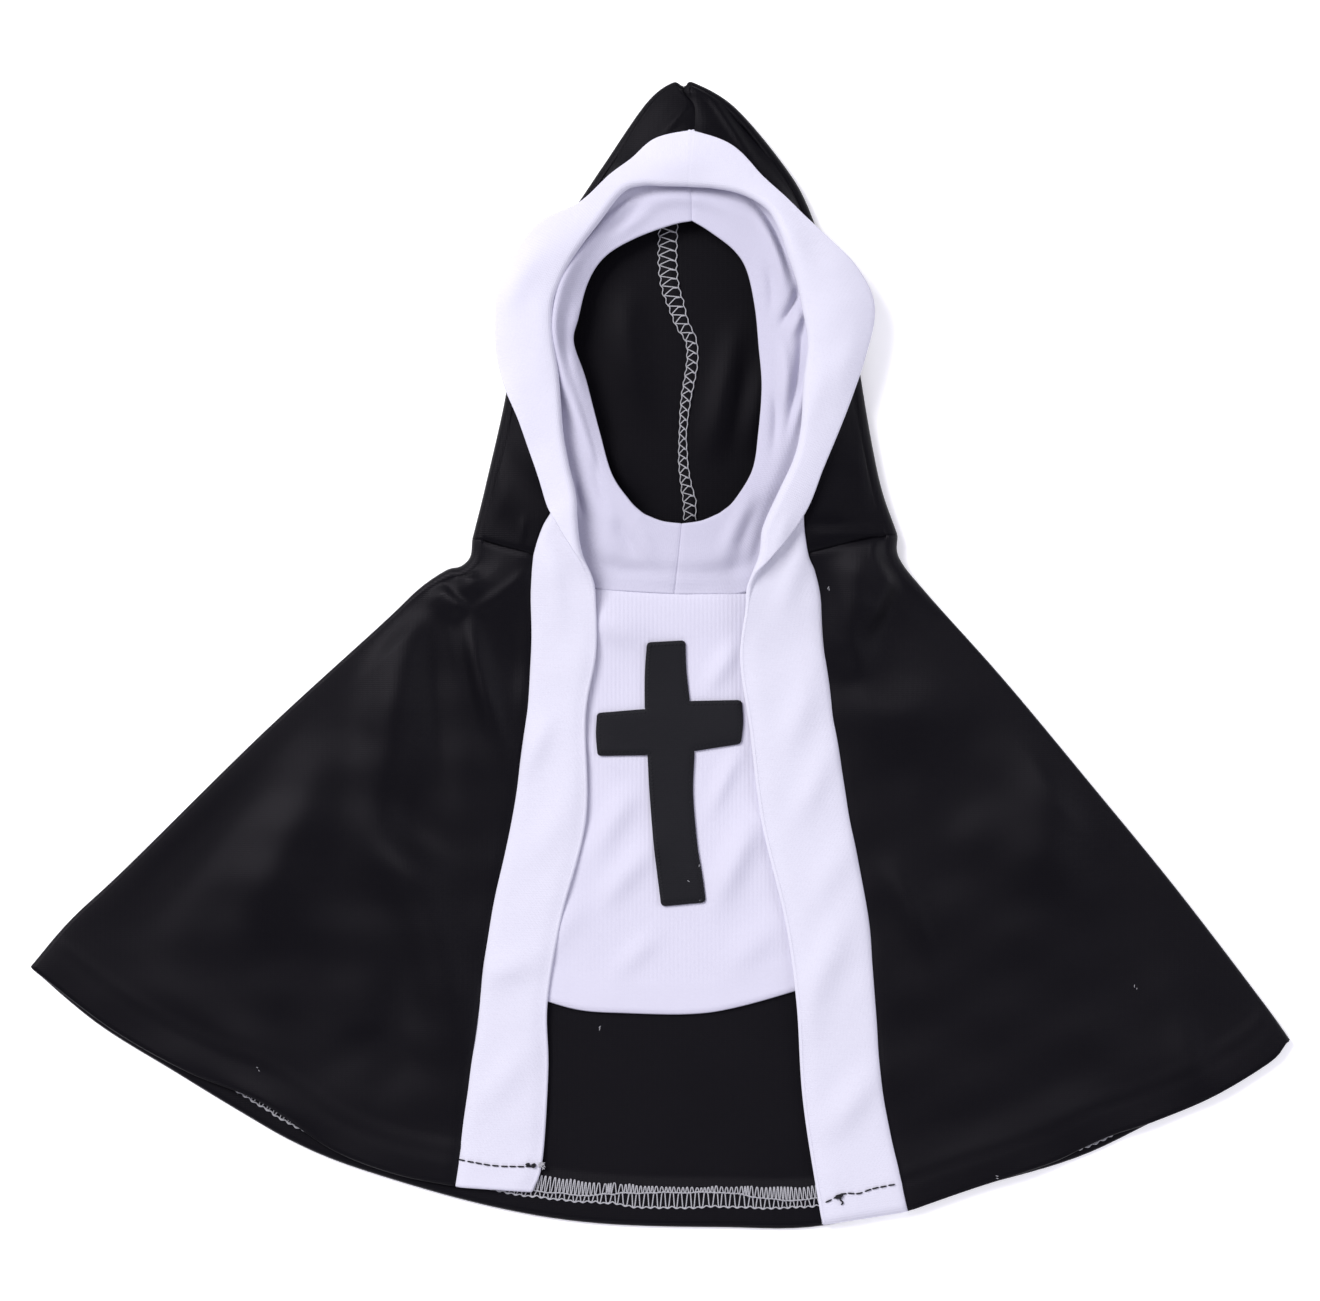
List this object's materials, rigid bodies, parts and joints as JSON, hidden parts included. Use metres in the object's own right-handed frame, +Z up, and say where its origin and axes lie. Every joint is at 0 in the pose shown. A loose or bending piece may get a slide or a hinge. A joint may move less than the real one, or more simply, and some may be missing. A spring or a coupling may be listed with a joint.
{
  "type": "pet nun costume",
  "caption": "Hooded pet cape laid flat: black half-circle cape and hood, white band round the opening, white face ring, ribbed bib with a black cross.",
  "frame": {"origin": "middle of the garment's outline, on the surface that it lies on", "axes": "+Z up from the surface, +Y from the hem to the hood's peak, +X across the garment to its right side as seen from above"},
  "size_m": [0.3784, 0.3438, 0.0157],
  "materials": {
    "black_knit": "matt brushed knit",
    "white_knit": "matt brushed knit, cool white",
    "white_rib": "matt fine rib knit, cool white",
    "cross_cloth": "matt brushed knit"
  },
  "bodies": {
    "root": {"cape": "black_knit", "hood_left": "black_knit", "hood_right": "black_knit", "band_left": "white_knit", "band_right": "white_knit", "coif_left": "white_knit", "coif_right": "white_knit", "bib": "white_rib", "cross": "cross_cloth"}
  },
  "joints": []
}
